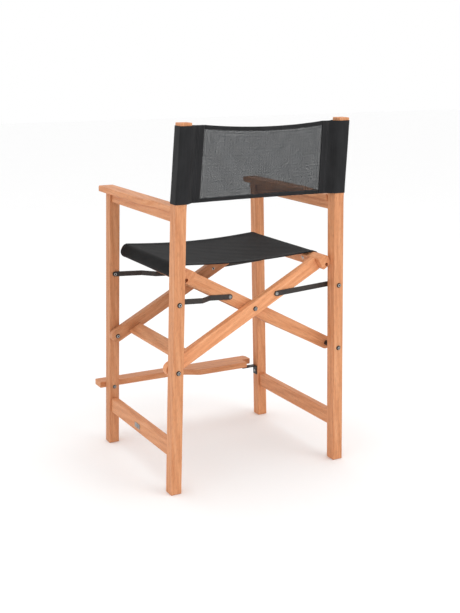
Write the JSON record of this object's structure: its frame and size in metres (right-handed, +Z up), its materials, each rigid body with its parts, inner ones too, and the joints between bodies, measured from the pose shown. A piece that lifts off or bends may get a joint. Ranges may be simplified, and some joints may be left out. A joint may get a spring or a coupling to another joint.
{
  "type": "folding director chair",
  "caption": "Counter-height folding director chair: hardwood side frames, crossed bars, woven cloth seat and back, hinged footrest.",
  "frame": {"origin": "middle of the chair's box in plan, at the floor", "axes": "+Z up, +Y towards the back of the chair, +X towards the sitter's left"},
  "size_m": [0.5874, 0.5506, 1.024],
  "materials": {
    "hardwood": "oiled orange-brown hardwood with straight fine grain",
    "sling_cloth": "charcoal coated open-weave mesh, matte",
    "black_steel": "black powder coat, satin",
    "bright_steel": "zinc-plated bright fasteners",
    "rod_plastic": "matte black plastic rod"
  },
  "bodies": {
    "left_frame": {"front_leg_left": "hardwood", "rear_post_left": "hardwood", "arm_board_left": "hardwood", "arm_rail_left": "hardwood", "bottom_stretcher_left": "hardwood", "front_pivot_bolt_left": "bright_steel", "rear_pivot_bolt_left": "bright_steel", "front_link_bolt_left": "bright_steel", "rear_link_bolt_left": "bright_steel", "footrest_bolt": "bright_steel", "back_sleeve_left": "sling_cloth", "badge_plate": "bright_steel"},
    "x_frame_a": {"front_bar_a": "hardwood", "rear_bar_a": "hardwood", "seat_rail_right": "hardwood", "cross_slat_left": "hardwood", "front_cross_dowel_a": "bright_steel", "rear_cross_dowel_a": "bright_steel", "front_rail_bolt_a": "bright_steel", "rear_rail_bolt_a": "bright_steel", "front_cross_bolt": "bright_steel", "rear_cross_bolt": "bright_steel", "sling_rod_right": "rod_plastic", "seat_sling": "sling_cloth"},
    "x_frame_b": {"front_bar_b": "hardwood", "rear_bar_b": "hardwood", "seat_rail_left": "hardwood", "cross_slat_right": "hardwood", "front_cross_dowel_b": "bright_steel", "rear_cross_dowel_b": "bright_steel", "front_rail_bolt_b": "bright_steel", "rear_rail_bolt_b": "bright_steel", "sling_rod_left": "rod_plastic"},
    "right_frame": {"front_leg_right": "hardwood", "rear_post_right": "hardwood", "arm_board_right": "hardwood", "arm_rail_right": "hardwood", "bottom_stretcher_right": "hardwood", "front_pivot_bolt_right": "bright_steel", "rear_pivot_bolt_right": "bright_steel", "front_spacer": "black_steel", "rear_spacer": "black_steel", "front_link_bolt_right": "bright_steel", "rear_link_bolt_right": "bright_steel", "footrest_bracket": "bright_steel", "bracket_screw": "bright_steel", "back_sleeve_right": "sling_cloth"},
    "left_links": {"front_link_left": "black_steel", "rear_link_left": "black_steel", "front_link_rivet_left": "bright_steel", "rear_link_rivet_left": "bright_steel"},
    "right_links": {"front_link_right": "black_steel", "rear_link_right": "black_steel", "front_link_rivet_right": "bright_steel", "rear_link_rivet_right": "bright_steel"},
    "footrest": {"footrest_board": "hardwood"},
    "left_back_panel": {"back_panel_left": "sling_cloth"},
    "right_back_panel": {"back_panel_right": "sling_cloth"}
  },
  "joints": [
    {"name": "fold", "type": "hinge", "parent": "left_frame", "child": "x_frame_a", "pos_m": [0.25537, 0.00989, 0.353], "axis": [0, 1, 0], "range_deg": [0, 34.86]},
    {"name": "cross", "type": "hinge", "parent": "x_frame_a", "child": "x_frame_b", "pos_m": [-0.00627, 0.00989, 0.4945], "axis": [0, 1, 0], "range_deg": [-83.24, 0], "deforming": ["seat_sling"]},
    {"name": "right_lower_pivot", "type": "hinge", "parent": "x_frame_b", "child": "right_frame", "pos_m": [-0.26791, 0.00989, 0.353], "axis": [0, 1, 0], "range_deg": [0, 34.91]},
    {"name": "left_link_pivot", "type": "hinge", "parent": "left_frame", "child": "left_links", "pos_m": [0.25007, 0.00989, 0.5425], "axis": [0, 1, 0], "range_deg": [0, 57.34]},
    {"name": "right_link_pivot", "type": "hinge", "parent": "right_frame", "child": "right_links", "pos_m": [-0.26262, 0.00989, 0.5425], "axis": [0, 1, 0], "range_deg": [-57.34, 0]},
    {"name": "footrest_pivot", "type": "hinge", "parent": "left_frame", "child": "footrest", "pos_m": [0.2601, -0.25331, 0.18375], "axis": [0, 1, 0], "range_deg": [0, 81.05]},
    {"name": "left_back_fold", "type": "hinge", "parent": "left_frame", "child": "left_back_panel", "pos_m": [0.22625, 0.23407, 0.812], "axis": [0, 0.2386, 0.9711], "range_deg": [-58.42, 0], "deforming": ["back_panel_left"]},
    {"name": "right_back_fold", "type": "hinge", "parent": "right_frame", "child": "right_back_panel", "pos_m": [-0.23879, 0.23407, 0.812], "axis": [0, 0.2386, 0.9711], "range_deg": [0, 58.42], "deforming": ["back_panel_right"]}
  ],
  "couplings": [
    {"joint": "cross", "follows": "fold", "ratio": -2.3864},
    {"joint": "right_lower_pivot", "follows": "fold", "ratio": 1},
    {"joint": "left_link_pivot", "follows": "fold", "ratio": 1.6434},
    {"joint": "right_link_pivot", "follows": "fold", "ratio": -1.6434},
    {"joint": "footrest_pivot", "follows": "fold", "ratio": 2.3236},
    {"joint": "left_back_fold", "follows": "fold", "ratio": -1.6744},
    {"joint": "right_back_fold", "follows": "fold", "ratio": 1.6744}
  ]
}
